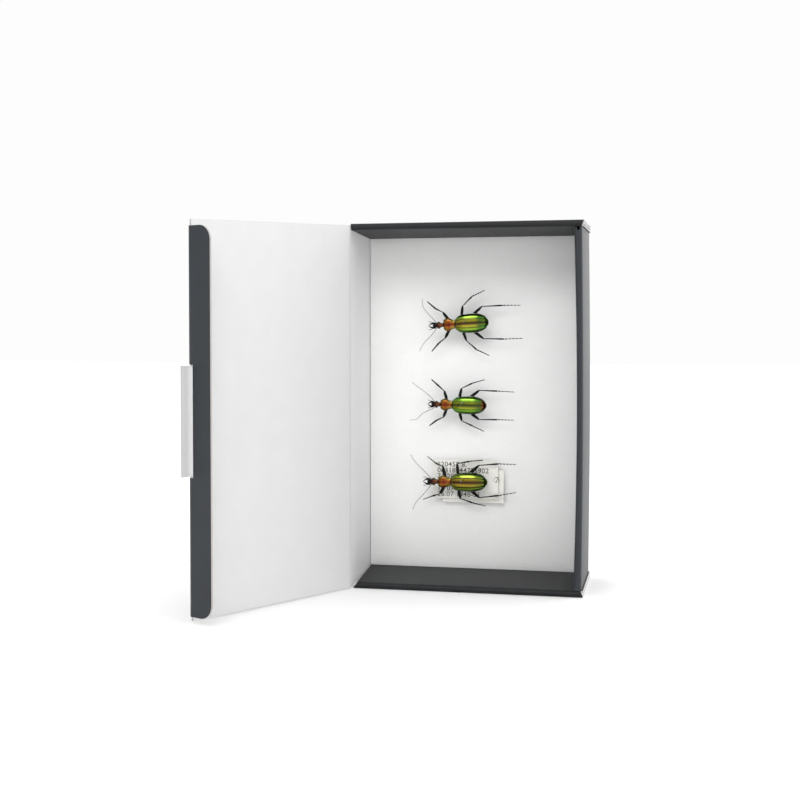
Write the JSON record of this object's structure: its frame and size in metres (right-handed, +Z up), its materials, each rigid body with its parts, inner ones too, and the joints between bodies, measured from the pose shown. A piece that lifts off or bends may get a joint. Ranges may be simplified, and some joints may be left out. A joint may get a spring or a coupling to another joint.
{
  "type": "insect specimen box",
  "caption": "Folded board carton on its short end, hinged lid open, with a white foam bed, pinned green and copper ground beetles and small data labels.",
  "frame": {"origin": "centre of the outer face of the short end wall that the carton stands on", "axes": "+X from the hinge wall to the tuck wall, +Y from the open front to the back panel, +Z up along the carton's length"},
  "size_m": [0.1377, 0.1343, 0.15],
  "materials": {
    "grey_board": "solid 0.8 mm board, matt dark grey liner",
    "white_board": "solid 0.8 mm board, matt white liner, faint specks",
    "foam": "fine closed-cell foam, matt",
    "label_paper": "uncoated off-white card",
    "green_cuticle": "metallic green to gold, glossy",
    "coppery_cuticle": "metallic copper red, glossy",
    "black_cuticle": "black, satin",
    "brown_antenna": "dark brown, fine down",
    "pin_steel": "bright drawn wire"
  },
  "bodies": {
    "carton": {"tray": "grey_board", "foam_sheet": "foam", "front_label": "label_paper", "back_label": "label_paper", "beetle_1_head": "coppery_cuticle", "beetle_1_pronotum": "coppery_cuticle", "beetle_1_left_elytron": "green_cuticle", "beetle_1_right_elytron": "green_cuticle", "beetle_1_body": "black_cuticle", "beetle_1_left_front_leg": "black_cuticle", "beetle_1_left_middle_leg": "black_cuticle", "beetle_1_left_hind_leg": "black_cuticle", "beetle_1_left_antenna": "brown_antenna", "beetle_1_right_front_leg": "black_cuticle", "beetle_1_right_middle_leg": "black_cuticle", "beetle_1_right_hind_leg": "black_cuticle", "beetle_1_right_antenna": "brown_antenna", "beetle_2_head": "coppery_cuticle", "beetle_2_pronotum": "coppery_cuticle", "beetle_2_left_elytron": "green_cuticle", "beetle_2_right_elytron": "green_cuticle", "beetle_2_body": "black_cuticle", "beetle_2_left_front_leg": "black_cuticle", "beetle_2_left_middle_leg": "black_cuticle", "beetle_2_left_hind_leg": "black_cuticle", "beetle_2_left_antenna": "brown_antenna", "beetle_2_right_front_leg": "black_cuticle", "beetle_2_right_middle_leg": "black_cuticle", "beetle_2_right_hind_leg": "black_cuticle", "beetle_2_right_antenna": "brown_antenna", "beetle_3_head": "coppery_cuticle", "beetle_3_pronotum": "coppery_cuticle", "beetle_3_left_elytron": "green_cuticle", "beetle_3_right_elytron": "green_cuticle", "beetle_3_body": "black_cuticle", "beetle_3_left_front_leg": "black_cuticle", "beetle_3_left_middle_leg": "black_cuticle", "beetle_3_left_hind_leg": "black_cuticle", "beetle_3_left_antenna": "brown_antenna", "beetle_3_right_front_leg": "black_cuticle", "beetle_3_right_middle_leg": "black_cuticle", "beetle_3_right_hind_leg": "black_cuticle", "beetle_3_right_antenna": "brown_antenna", "pin_1": "pin_steel", "pin_2": "pin_steel", "pin_3": "pin_steel"},
    "lid_panel": {"lid": "white_board"},
    "flap": {"tuck_flap": "grey_board"}
  },
  "joints": [
    {"name": "lid_hinge", "type": "hinge", "parent": "carton", "child": "lid_panel", "pos_m": [-0.0471, -0.0247, 0.075], "axis": [0, 0, -1], "range_deg": [-117, 63]},
    {"name": "flap_crease", "type": "hinge", "parent": "lid_panel", "child": "flap", "pos_m": [-0.08796, -0.10489, 0.075], "axis": [0, 0, -1], "range_deg": [-30, 3]}
  ]
}
